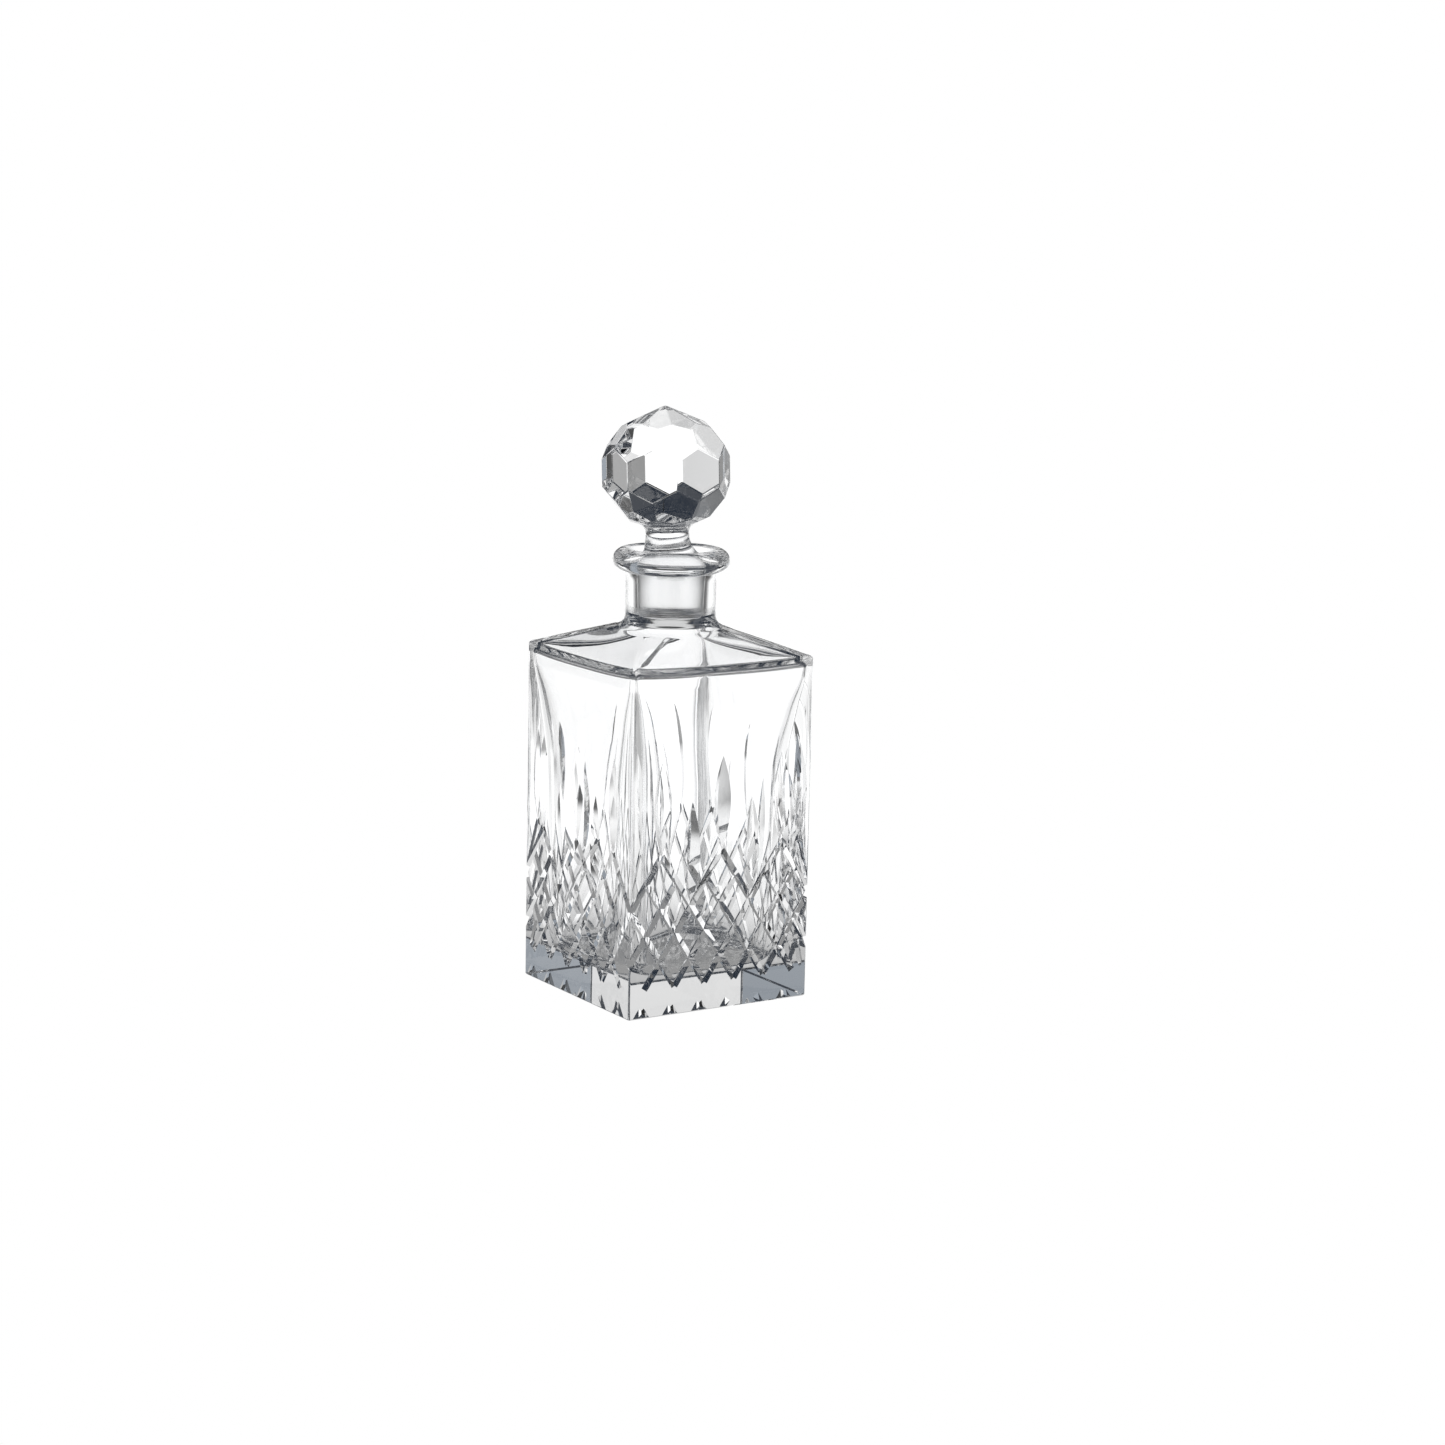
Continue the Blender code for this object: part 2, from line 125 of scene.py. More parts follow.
# Stopper
FIT_GAP = 0.3 * MM
PLUG_BOTTOM = 166.8 * MM
PLUG_END_BEVEL = 1.0 * MM
WAIST_PROFILE = (
    (13.9, 191.0),
    (11.9, 192.4),
    (10.6, 194.4),
    (9.8, 197.2),
    (9.4, 200.4),
    (9.6, 202.2),
    (10.9, 204.0),
)
BALL_HEIGHT = 227.3 * MM
BALL_FLAT_RADIUS = 25.85 * MM
BALL_EDGE_HALF_HEIGHT = 5.9 * MM
BALL_APEX = 28.3 * MM
BALL_SIDES = 8
BALL_FOOT = 21.8 * MM
BALL_FOOT_RADIUS = 13.4 * MM
BALL_FOOT_MARGIN = 0.4 * MM
BALL_BLANK = 80.0 * MM
SHANK_OVERLAP = 6.0 * MM
UPPER_TILT = 36.5
TOP_TILT = 65.0
LOWER_TILT = 37.5
FOOT_TILT = 67.0
LEAN = 2.0
LEAN_TOWARDS = 148.0
LEAN_PIVOT = 144.0 * MM
LEAN_START = 187.0 * MM
LEAN_END = 199.0 * MM

# Polished edges between the facets of the ball
FACET_EDGE = 0.45 * MM
FACET_EDGE_STEPS = 4
FACET_EDGE_ANGLE = 10.0

# Mesh density
SIDE_POINTS = 29
CORNER_POINTS = 12
ROUND_POINTS = 4 * (SIDE_POINTS + CORNER_POINTS)
EDGE_ARC_STEPS = 13
SHOULDER_STEPS = 17
LIP_STEPS = 45
SEAT_STEPS = 9
CURVE_STEPS = 6
LEAF_STEPS = 40
SHANK_POINTS = 128
BOTTLE_SHARP_ANGLE = 22.0
STOPPER_SHARP_ANGLE = 14.0
FLAT_FACE_WEIGHT = 100
CUT_TOLERANCE = 1e-7

# Surface
GLASS_IOR = 1.55
TINT_COOL = (0.985, 0.99, 1.0, 1.0)
TINT_WARM = (1.0, 1.0, 0.995, 1.0)
TINT_SCALE = 14.0
SMEAR_SCALE = 55.0
SMEAR_DETAIL = 4.0
SMEAR_START = 0.45
SMEAR_END = 0.8
SMEAR_ROUGHNESS = 0.012
WORN_SHARE = 1.3
WAVE_SCALE = 32.0
POLISHED_STRETCH = (1.0, 1.0, 0.35)
TURNED_STRETCH = (0.05, 0.05, 40.0)
UPRIGHT_LIMIT = 0.3
POLISH_WAVES = 0.03 * MM
GRIND_RINGS = 0.02 * MM
GROUND_ROUGHNESS = 0.2
GROUND_TOP = 184.5 * MM
SEAT_GROUND_TOP = 170.0 * MM

# Studio: distances in metres, angles in degrees, levels as shares of white
POOL_X = -0.03
POOL_Y = 0.05
POOL_REACH = 0.29
POOL_END = 0.48
POOL_LEVEL = 1.0
DARK_LEVEL = 0.08
# Painted shadow under the bottle's base: inside the base's footprint the floor's glow falls to
# this share
UNDER_SHADE_START = 42.0 * MM
UNDER_SHADE_END = 51.0 * MM
UNDER_SHADE_LEVEL = 0.6
FAR_START = 2.8
FAR_END = 4.4
FAR_LEVEL = 0.5
# Side pools: azimuth, half width, end of their edge, level, reach, end of the reach
SIDE_POOLS = (
    (210.0, 14.0, 36.0, 0.8, 0.8, 1.1),
    (300.0, 22.0, 48.0, 0.7, 1.8, 2.6),
    (170.0, 25.0, 45.0, 0.9, 16.0, 17.0),
)
# Painted shade near the bottle: the floor's glow is dimmed to this share close to a spot just in
# front of the bottle
NEAR_SHADE_X = -0.09
NEAR_SHADE_Y = -0.045
NEAR_SHADE_START = 0.12
NEAR_SHADE_END = 0.28
NEAR_SHADE_LEVEL = 0.5
LIT_START = 0.1
LIT_END = 0.24
WINDOW_AZIMUTH = 59.0
WINDOW_NEAR = 0.8
WINDOW_FAR = 1.4
WINDOW_FULL = (32.0, 12.0)
WINDOW_END = (60.0, 46.0)
WINDOW_LEVEL = 1.2
FLOOR_TURNS = 180
FLOOR_RINGS = 120
FLOOR_FIRST = 0.01
FLOOR_REACH = 16.0
FLOOR_LEVEL = -0.0002
PANEL_STEPS = 60
PANEL_ROWS = 48
PANEL_DISTANCE = 2.6
PANEL_EYE = 0.08
PANEL_LOWEST = -1.0
PANEL_FOOT_FADE = 3.0
PANEL_SLOPE = 0.3
WHITE = (1.0, 1.0, 1.0, 1.0)
COOL = (0.84, 0.93, 1.04, 1.0)
DIM = (0.022, 0.029, 0.042, 1.0)
LIGHT_BOUNCES = 32

# Cards: azimuth, half width, side fade, foot, top, top fade, all in degrees, and level
BACKDROP = (58.0, 7.0, 6.0, 12.5, 17.0, 3.0, 1.0)
SIDE_CARD = (-58.0, 14.0, 20.0, -1.0, 20.0, 14.0, 0.45)
LEFT_CARD = (123.0, 10.0, 14.0, -1.0, 18.0, 12.0, 0.42)

# Camera: angles in degrees, distances in metres, lens and sensor in millimetres
CAMERA_AZIMUTH = -31.785
CAMERA_ELEVATION = 10.084
CAMERA_DISTANCE = 1.4047
CAMERA_TARGET = (0.0, 0.0, 0.118)
CAMERA_AIM = 0.961
CAMERA_ROLL = 1.218
CAMERA_LENS = 80.35
SENSOR_WIDTH = 36.0


# Meshes


def mesh_object(name, points, faces):
    """Link a mesh, with its faces turned outwards, into the scene."""
    mesh = bpy.data.meshes.new(name)
    mesh.from_pydata([tuple(point) for point in points], [], faces)
    work = bmesh.new()
    work.from_mesh(mesh)
    bmesh.ops.recalc_face_normals(work, faces=work.faces)
    work.to_mesh(mesh)
    work.free()
    made = bpy.data.objects.new(name, mesh)
    bpy.context.scene.collection.objects.link(made)
    return made


def loft(rings):
    """Points and faces of a stack of equal rings, capped at both ends."""
    count = len(rings[0])
    points = np.concatenate(rings)
    faces = []
    for level in range(len(rings) - 1):
        low = level * count
        high = low + count
        for index in range(count):
            after = (index + 1) % count
            faces.append((low + index, low + after, high + after, high + index))
    faces.append(tuple(range(count)))
    faces.append(tuple(range((len(rings) - 1) * count, len(rings) * count)))
    return points, faces


def quadrant_points(half, corner):
    """One quarter of a rounded square, from the +X face round the +X +Y corner."""
    straight = half - corner
    share = np.linspace(-1.0, 1.0, SIDE_POINTS)
    flat = np.column_stack((np.full(SIDE_POINTS, half), share * straight))
    turn = np.radians(90) * np.arange(1, CORNER_POINTS + 1) / (CORNER_POINTS + 1)
    arc = np.column_stack((straight + corner * np.cos(turn), straight + corner * np.sin(turn)))
    return np.concatenate((flat, arc))


def four_sides(px, py, z):
    """A closed ring made of one quarter, turned to each of the four sides."""
    sides = []
    for side in range(4):
        turn = side * math.pi / 2
        x = px * math.cos(turn) - py * math.sin(turn)
        y = px * math.sin(turn) + py * math.cos(turn)
        sides.append(np.column_stack((x, y, z)))
    return np.concatenate(sides)


def section(half, corner, radius, blend, face_z, corner_z):
    """A ring between a rounded square and a circle, at one height or rising to its corners."""
    quarter = quadrant_points(half, corner)
    index = np.arange(len(quarter))
    angle = 2 * np.pi * (index - (SIDE_POINTS - 1) / 2) / ROUND_POINTS
    px = quarter[:, 0] * (1 - blend) + radius * np.cos(angle) * blend
    py = quarter[:, 1] * (1 - blend) + radius * np.sin(angle) * blend
    lift = np.abs(np.minimum(quarter[:, 0], quarter[:, 1]) / half).clip(0, 1) ** CORNER_LIFT
    return four_sides(px, py, face_z + (corner_z - face_z) * lift)


def square_ring(half, corner, z):
    """A level rounded-square ring."""
    return section(half, corner, 0.0, 0.0, z, z)


def circle_ring(radius, z):
    """A level round ring."""
    return section(HALF, EDGE_RADIUS, radius, 1.0, z, z)


def smooth_curve(points, steps):
    """Points along a Catmull-Rom curve through the given ones, steps for each span."""
    given = np.array(points, dtype=float)
    padded = np.vstack((2 * given[0] - given[1], given, 2 * given[-1] - given[-2]))
    curve = []
    for index in range(len(given) - 1):
        p0, p1, p2, p3 = padded[index : index + 4]
        for step in range(steps):
            t = step / steps
            curve.append(
                0.5
                * (
                    2 * p1
                    + (p2 - p0) * t
                    + (2 * p0 - 5 * p1 + 4 * p2 - p3) * t * t
                    + (3 * p1 - p0 - 3 * p2 + p3) * t ** 3
                )
            )
    curve.append(given[-1])
    return curve


def shoulder_edge_rings():
    """The rounded edge between the faces and the shoulder, tighter at the corners."""
    rings = []
    for turn in np.radians(np.linspace(0, EDGE_ARC, EDGE_ARC_STEPS)):
        inset = EDGE_ARC_INSET * (1 - math.cos(turn))
        face_z = FACE_HEIGHT + EDGE_ARC_FACE_RISE * math.sin(turn)
        corner_z = CORNER_HEIGHT + EDGE_ARC_CORNER_RISE * math.sin(turn)
        corner = EDGE_RADIUS + EDGE_ARC_CORNER * math.sin(turn)
        rings.append(section(HALF - inset, corner, 0.0, 0.0, face_z, corner_z))
    return rings


def shoulder_rings():
    """The sloping shoulder, from the square body to the round root of the neck."""
    rings = []
    for blend in np.linspace(0, 1, SHOULDER_STEPS)[1:]:
        half = HALF - EDGE_INSET
        rise = blend ** SHOULDER_BOW
        face_z = FACE_HEIGHT + EDGE_FACE_RISE
        corner_z = CORNER_HEIGHT + EDGE_CORNER_RISE
        face_z += (NECK_ROOT_HEIGHT - face_z) * rise
        corner_z += (NECK_ROOT_HEIGHT - corner_z) * rise
        rings.append(section(half, SHOULDER_CORNER, NECK_ROOT_RADIUS, blend, face_z, corner_z))
    return rings


def turned_rings(profile):
    """Round rings along a smooth curve through (radius, height) pairs in millimetres."""
    return [circle_ring(radius * MM, z * MM) for radius, z in smooth_curve(profile, CURVE_STEPS)]


def lip_rings():
    """The rounded lip ring, a bulge on the neck's top."""
    middle = (LIP_BOTTOM + LIP_TOP) / 2
    half_height = (LIP_TOP - LIP_BOTTOM) / 2
    bulge = half_height * LIP_BULGE
    centre = LIP_RADIUS - bulge
    rings = []
    for turn in np.radians(np.linspace(-90, 90, LIP_STEPS)):
        radius = centre + bulge * math.cos(turn)
        rings.append(circle_ring(radius, middle + half_height * math.sin(turn)))
    return rings


def seat_rings():
    """The ground seat of the stopper, from its top down."""
    rings = []
    for share in np.linspace(0, 1, SEAT_STEPS):
        radius = SEAT_TOP_RADIUS + (SEAT_BOTTOM_RADIUS - SEAT_TOP_RADIUS) * share
        rings.append(circle_ring(radius, SEAT_TOP + (SEAT_BOTTOM - SEAT_TOP) * share))
    return rings


def squircle_ring(half, power, z):
    """A level ring of a square whose sides bow gently into round corners."""
    quarter = quadrant_points(half, CORNER_SPREAD * half / power)
    reach = (np.abs(quarter) ** power).sum(axis=1) ** (-1 / power)
    quarter = quarter * reach[:, None] * half
    return four_sides(quarter[:, 0], quarter[:, 1], np.full(len(quarter), z))


def roof_rings():
    """The inside of the shoulder, at an even distance under the outside."""
    rings = []
    for blend in np.linspace(1, 0, SHOULDER_STEPS)[1:]:
        rise = blend ** SHOULDER_BOW
        face_z = ROOF_FACE_HEIGHT + (ROOF_TOP - ROOF_FACE_HEIGHT) * rise
        corner_z = ROOF_CORNER_HEIGHT + (ROOF_TOP - ROOF_CORNER_HEIGHT) * rise
        rings.append(section(ROOF_HALF, ROOF_CORNER, ROOF_RADIUS, blend, face_z, corner_z))
    return rings


def roof_edge_rings():
    """The rounded edge between the inside of the shoulder and the walls."""
    rings = []
    start = math.radians(ROOF_EDGE_START)
    for turn in np.linspace(start, math.pi / 2, SEAT_STEPS)[1:]:
        half = INNER_TOP_HALF - ROOF_EDGE_INSET * (1 - math.sin(turn))
        drop = ROOF_EDGE_DROP * (math.cos(start) - math.cos(turn))
        face_z = ROOF_FACE_HEIGHT - drop
        corner_z = ROOF_CORNER_HEIGHT - drop
        rings.append(section(half, INNER_TOP_CORNER, 0.0, 0.0, face_z, corner_z))
    return rings


def wall_rings():
    """The blown walls: thin at the shoulder, thicker and rounder towards the floor."""
    profile = smooth_curve(WALL_PROFILE, CURVE_STEPS)
    return [squircle_ring(half * MM, power, z * MM) for half, power, z in profile]


def face_frame(side):
    """Corner at the left end of a face, its width direction and its outward direction."""
    turn = side * math.radians(90)
    along = Vector((math.cos(turn), math.sin(turn), 0.0))
    outward = Vector((math.sin(turn), -math.cos(turn), 0.0))
    return outward * HALF - along * HALF, along, outward


def lattice_point(column, row):
    """Position on a face of a crossing of the cut lattice: (width, height)."""
    return Vector((column * CELL_WIDTH, TOOTH_TIP_HEIGHT + row * CELL_HEIGHT))


def lattice_cuts():
    """Start and end of each groove, as lattice columns and rows, from apexes and odd columns."""
    cuts = set()
    for apex in range(TALL_LEAF_COLUMNS[0] - APEX_PITCH, CELLS + APEX_PITCH, APEX_PITCH):
        for way in (-1, 1):
            cuts.add(((apex, APEX_ROW), (apex + way * APEX_ROW, 0)))
    for start in range(-1, CELLS + 2, 2):
        for way in (-1, 1):
            cuts.add(((start, APEX_ROW - 1), (start + way * (APEX_ROW - 1), 0)))
    return sorted(cut for cut in cuts if on_face(cut))


def on_face(cut):
    """Whether some of a cut lies between the face's two edges."""
    low, high = sorted((cut[0][0], cut[1][0]))
    return high > 0 and low < CELLS


def groove(side, start, end):
    """A boat-shaped V cutter between two points of a face, its floor rising at both ends."""
    origin, along, outward = face_frame(side)
    span = end - start
    unit = span.normalized()
    across = Vector((-unit.y, unit.x))
    steep = GROOVE_RUN_OUT / GROOVE_DEPTH
    half_top = GROOVE_WIDTH / 2 * (1 + CUTTER_PROUD / GROOVE_DEPTH)

    def place(point, out):
        spot = origin + along * point.x + outward * out
        return Vector((spot.x, spot.y, point.y))

    points = []
    for corner, way in ((start, -1), (end, 1)):
        outer = corner + unit * way * CUTTER_PROUD * steep
        points.append(place(outer + across * half_top, CUTTER_PROUD))
        points.append(place(outer - across * half_top, CUTTER_PROUD))
    points.append(place(start + unit * GROOVE_RUN_OUT, -GROOVE_DEPTH))
    points.append(place(end - unit * GROOVE_RUN_OUT, -GROOVE_DEPTH))
    return points, [(0, 1, 3, 2), (0, 2, 5, 4), (3, 1, 4, 5), (1, 0, 4), (2, 3, 5)]


def leaf(side, column, foot, length):
    """The rim of a V-edged cutting wheel, which leaves a pointed upright leaf."""
    origin, along, outward = face_frame(side)
    reach = length / 2
    wheel = (reach ** 2 + LEAF_DEPTH ** 2) / (2 * LEAF_DEPTH)
    flank = LEAF_WIDTH / 2 / LEAF_DEPTH
    web = LEAF_DEPTH * LEAF_WEB
    middle = origin + along * column * CELL_WIDTH
    middle = Vector((middle.x, middle.y, foot + reach)) + outward * (wheel - LEAF_DEPTH)
    sweep = math.asin(min(1.0, reach * LEAF_SWEEP / wheel))
    points = []
    faces = []
    for step in range(LEAF_STEPS + 1):
        turn = sweep * (2 * step / LEAF_STEPS - 1)
        direction = Vector((0.0, 0.0, math.sin(turn))) - outward * math.cos(turn)
        rim = middle + direction * wheel
        inner = middle + direction * (wheel - web)
        points += [rim, inner + along * web * flank, inner - along * web * flank]
        if step:
            low = 3 * (step - 1)
            for index in range(3):
                after = (index + 1) % 3
                faces.append((low + index, low + after, low + 3 + after, low + 3 + index))
    faces += [(0, 1, 2), (len(points) - 3, len(points) - 2, len(points) - 1)]
    return points, faces


def joined(name, parts):
    """One object from several (points, faces) pairs."""
    points = []
    faces = []
    for part_points, part_faces in parts:
        base = len(points)
        points += list(part_points)
        faces += [tuple(base + index for index in face) for face in part_faces]
    return mesh_object(name, points, faces)


def groove_cutter():
    """Every straight V groove of the four faces."""
    parts = []
    for side in range(4):
        for start, end in lattice_cuts():
            parts.append(groove(side, lattice_point(*start), lattice_point(*end)))
    return joined("groove_cutter", parts)


def leaf_cutter():
    """Every upright leaf: tall ones on the apexes, short ones over the valleys."""
    parts = []
    apex_height = TOOTH_TIP_HEIGHT + APEX_ROW * CELL_HEIGHT
    valley_height = TOOTH_TIP_HEIGHT + VALLEY_ROW * CELL_HEIGHT
    for side in range(4):
        for column in TALL_LEAF_COLUMNS:
            parts.append(leaf(side, column, apex_height, TALL_LEAF_LENGTH))
        for column in SHORT_LEAF_COLUMNS:
            parts.append(leaf(side, column, valley_height, SHORT_LEAF_LENGTH))
    return joined("leaf_cutter", parts)


def boolean(target, tool, operation, self_crossing):
    """Join or cut two objects for good, and remove the tool."""
    change = target.modifiers.new(tool.name, "BOOLEAN")
    change.operation = operation
    change.object = tool
    change.solver = "EXACT"
    change.use_self = self_crossing
    bake_modifiers(target)
    bpy.data.objects.remove(tool)


def bake_modifiers(target):
    """Apply an object's modifiers to its mesh."""
    graph = bpy.context.evaluated_depsgraph_get()
    graph.update()
    baked = bpy.data.meshes.new_from_object(target.evaluated_get(graph))
    target.modifiers.clear()
    target.data = baked


def crisp(target, degrees):
    """Smooth shading with sharp edges, and flat faces kept flat beside rounded ones."""
    target.data.shade_smooth()
    target.data.set_sharp_from_angle(angle=math.radians(degrees))
    weighted = target.modifiers.new("flat_faces", "WEIGHTED_NORMAL")
    weighted.keep_sharp = True
    weighted.weight = FLAT_FACE_WEIGHT
    bake_modifiers(target)


def make_bottle():
    """The bottle with every cut."""
    rings = [
        square_ring(HALF - BASE_BEVEL, EDGE_RADIUS, 0.0),
        square_ring(HALF, EDGE_RADIUS, BASE_BEVEL),
    ]
    rings += shoulder_edge_rings()
    rings += shoulder_rings()
    rings += turned_rings(NECK_PROFILE)
    rings += lip_rings()
    rings += turned_rings(MOUTH_BOWL)
    rings += seat_rings()
    rings += turned_rings(FUNNEL)
    rings += roof_rings()
    rings += roof_edge_rings()
    rings += wall_rings()
    bottle = mesh_object("bottle_glass", *loft(rings))
    boolean(bottle, groove_cutter(), "DIFFERENCE", True)
    boolean(bottle, leaf_cutter(), "DIFFERENCE", True)
    crisp(bottle, BOTTLE_SHARP_ANGLE)
    return bottle


def leaned(points):
    """Tip the stopper above its plug, because the hand-cut ball isn't true to the plug."""
    side = math.radians(LEAN_TOWARDS)
    axis = Vector((-math.sin(side), math.cos(side), 0.0))
    pivot = Vector((0.0, 0.0, LEAN_PIVOT))
    tip = Matrix.Rotation(math.radians(LEAN), 3, axis)
    tipped = []
    for point in points:
        spot = Vector(point)
        share = min(1.0, max(0.0, (spot.z - LEAN_START) / (LEAN_END - LEAN_START)))
        share = share * share * (3 - 2 * share)
        tipped.append(spot.lerp(pivot + tip @ (spot - pivot), share))
    return tipped


def plug_radius(z):
    """Radius of the ground plug, parallel to the seat."""
    share = (z - SEAT_BOTTOM) / (SEAT_TOP - SEAT_BOTTOM)
    return SEAT_BOTTOM_RADIUS + (SEAT_TOP_RADIUS - SEAT_BOTTOM_RADIUS) * share - FIT_GAP


def shank_profile():
    """Half outline of the plug, the waist and the flare into the ball."""
    low = plug_radius(PLUG_BOTTOM)
    profile = []
    for turn in np.radians(np.linspace(0, 90, CURVE_STEPS + 1)):
        profile.append(
            (
                low - PLUG_END_BEVEL * (1 - math.sin(turn)),
                PLUG_BOTTOM + PLUG_END_BEVEL * (1 - math.cos(turn)),
            )
        )
    for z in np.linspace(PLUG_BOTTOM + PLUG_END_BEVEL, SEAT_TOP, SEAT_STEPS)[1:]:
        profile.append((plug_radius(z), z))
    foot = BALL_HEIGHT - BALL_FOOT
    waist = WAIST_PROFILE + ((BALL_FOOT_RADIUS / MM, foot / MM),)
    profile += [(radius * MM, z * MM) for radius, z in smooth_curve(waist, CURVE_STEPS)]
    profile.append((BALL_FOOT_RADIUS, foot + SHANK_OVERLAP))
    return profile


def stopper_shank():
    """The turned lower part of the stopper."""
    turns = 2 * np.pi * np.arange(SHANK_POINTS) / SHANK_POINTS
    rings = []
    for radius, z in shank_profile():
        level = np.full(SHANK_POINTS, z)
        rings.append(np.column_stack((radius * np.cos(turns), radius * np.sin(turns), level)))
    points, faces = loft(rings)
    return mesh_object("shank", leaned(points), faces)


def facet_planes():
    """Tilt, offset in half steps and distance from the centre of each ring of facets."""
    corner = BALL_FLAT_RADIUS / math.cos(math.pi / BALL_SIDES)
    rings = [(0.0, 0, BALL_FLAT_RADIUS)]
    for degrees in (UPPER_TILT, -LOWER_TILT):
        tilt = math.radians(abs(degrees))
        reach = corner * math.cos(tilt) + BALL_EDGE_HALF_HEIGHT * math.sin(tilt)
        rings.append((degrees, 1, reach))
    rings.append((TOP_TILT, 0, BALL_APEX * math.sin(math.radians(TOP_TILT))))
    foot = math.radians(FOOT_TILT)
    reach = BALL_FOOT_RADIUS * math.cos(foot) + BALL_FOOT * math.sin(foot)
    rings.append((-FOOT_TILT, 0, reach))
    return rings


def stopper_ball():
    """The faceted ball: rings of eight flat facets, pointed at the top."""
    work = bmesh.new()
    bmesh.ops.create_cube(work, size=BALL_BLANK)
    cuts = [(Vector((0.0, 0.0, -BALL_FOOT - BALL_FOOT_MARGIN)), Vector((0.0, 0.0, -1.0)))]
    for degrees, offset, distance in facet_planes():
        tilt = math.radians(degrees)
        for index in range(BALL_SIDES):
            turn = 2 * math.pi * (index + offset / 2) / BALL_SIDES
            flat = math.cos(tilt)
            normal = Vector((math.cos(turn) * flat, math.sin(turn) * flat, math.sin(tilt)))
            cuts.append((normal * distance, normal))
    for spot, normal in cuts:
        geometry = work.verts[:] + work.edges[:] + work.faces[:]
        found = bmesh.ops.bisect_plane(
            work,
            geom=geometry,
            dist=CUT_TOLERANCE,
            plane_co=spot,
            plane_no=normal,
            clear_outer=True,
        )
        edges = [item for item in found["geom_cut"] if isinstance(item, bmesh.types.BMEdge)]
        if edges:
            bmesh.ops.contextual_create(work, geom=edges)
    bmesh.ops.translate(work, verts=work.verts, vec=(0.0, 0.0, BALL_HEIGHT))
    mesh = bpy.data.meshes.new("stopper_glass")
    for vert, spot in zip(work.verts, leaned([vert.co for vert in work.verts])):
        vert.co = spot
    bmesh.ops.recalc_face_normals(work, faces=work.faces)
    work.to_mesh(mesh)
    work.free()
    made = bpy.data.objects.new("stopper_glass", mesh)
    bpy.context.scene.collection.objects.link(made)
    return made


def soften(piece):
    """Round the polished edges between flat facets."""
    edge = piece.modifiers.new("edge", "BEVEL")
    edge.width = FACET_EDGE
    edge.segments = FACET_EDGE_STEPS
    edge.limit_method = "ANGLE"
    edge.angle_limit = math.radians(FACET_EDGE_ANGLE)
    bake_modifiers(piece)


def make_stopper():
    """The ball joined with its turned shank and plug."""
    stopper = stopper_ball()
    soften(stopper)
    boolean(stopper, stopper_shank(), "UNION", False)
    crisp(stopper, STOPPER_SHARP_ANGLE)
    return stopper


# Materials


def crystal(name, waves, grind):
    """Lead crystal: polished with faint waves, or ground to a satin with fine turned rings."""
    material = bpy.data.materials.new(name)
    material.use_nodes = True
    nodes = material.node_tree.nodes
    links = material.node_tree.links
    shader = nodes["Principled BSDF"]
    shader.inputs["IOR"].default_value = GLASS_IOR
    shader.inputs["Transmission Weight"].default_value = 1.0
    place = nodes.new("ShaderNodeTexCoord")
    tint = nodes.new("ShaderNodeTexNoise")
    tint.inputs["Scale"].default_value = TINT_SCALE
    links.new(place.outputs["Object"], tint.inputs["Vector"])
    colour = nodes.new("ShaderNodeMix")
    colour.data_type = "RGBA"
    colour.inputs["A"].default_value = TINT_COOL
    colour.inputs["B"].default_value = TINT_WARM
    links.new(tint.outputs["Fac"], colour.inputs["Factor"])
    links.new(colour.outputs["Result"], shader.inputs["Base Color"])
    smear = nodes.new("ShaderNodeTexNoise")
    smear.inputs["Scale"].default_value = SMEAR_SCALE
    smear.inputs["Detail"].default_value = SMEAR_DETAIL
    links.new(place.outputs["Object"], smear.inputs["Vector"])
    worn = grind * WORN_SHARE + SMEAR_ROUGHNESS
    smears = smear.outputs["Fac"]
    rough = smooth_ramp(nodes, links, smears, SMEAR_START, SMEAR_END, grind, worn)
    links.new(rough, shader.inputs["Roughness"])
    stretch = nodes.new("ShaderNodeMapping")
    stretch.inputs["Scale"].default_value = TURNED_STRETCH if grind else POLISHED_STRETCH
    links.new(place.outputs["Object"], stretch.inputs["Vector"])
    wave = nodes.new("ShaderNodeTexNoise")
    wave.inputs["Scale"].default_value = WAVE_SCALE
    wave.inputs["Detail"].default_value = 1.0
    links.new(stretch.outputs["Vector"], wave.inputs["Vector"])
    bump = nodes.new("ShaderNodeBump")
    bump.inputs["Strength"].default_value = 1.0
    bump.inputs["Distance"].default_value = waves
    links.new(wave.outputs["Fac"], bump.inputs["Height"])
    links.new(bump.outputs["Normal"], shader.inputs["Normal"])
    return material


def smooth_ramp(nodes, links, source, start, end, first, last):
    """A value that eases from first to last while the source goes from start to end."""
    change = nodes.new("ShaderNodeMapRange")
    change.interpolation_type = "SMOOTHSTEP"
    change.inputs["From Min"].default_value = start
    change.inputs["From Max"].default_value = end
    change.inputs["To Min"].default_value = first
    change.inputs["To Max"].default_value = last
    links.new(source, change.inputs["Value"])
    return change.outputs["Result"]


def grind(piece, reach, top):
    """Give the ground zone of the seat or the plug the satin material, the second one."""
    for face in piece.data.polygons:
        middle = face.center
        level = SEAT_BOTTOM < middle.z < top
        upright = abs(face.normal.z) < UPRIGHT_LIMIT
        if level and upright and math.hypot(middle.x, middle.y) < reach:
            face.material_index = 1


# Studio


def eased(value):
    """A smooth step from 0 to 1."""
    value = min(1.0, max(0.0, value))
    return value * value * (3 - 2 * value)


def ramp(value, start, end, first, last):
    """Ease from first to last while the value goes from start to end."""
    return first + (last - first) * eased((value - start) / (end - start))


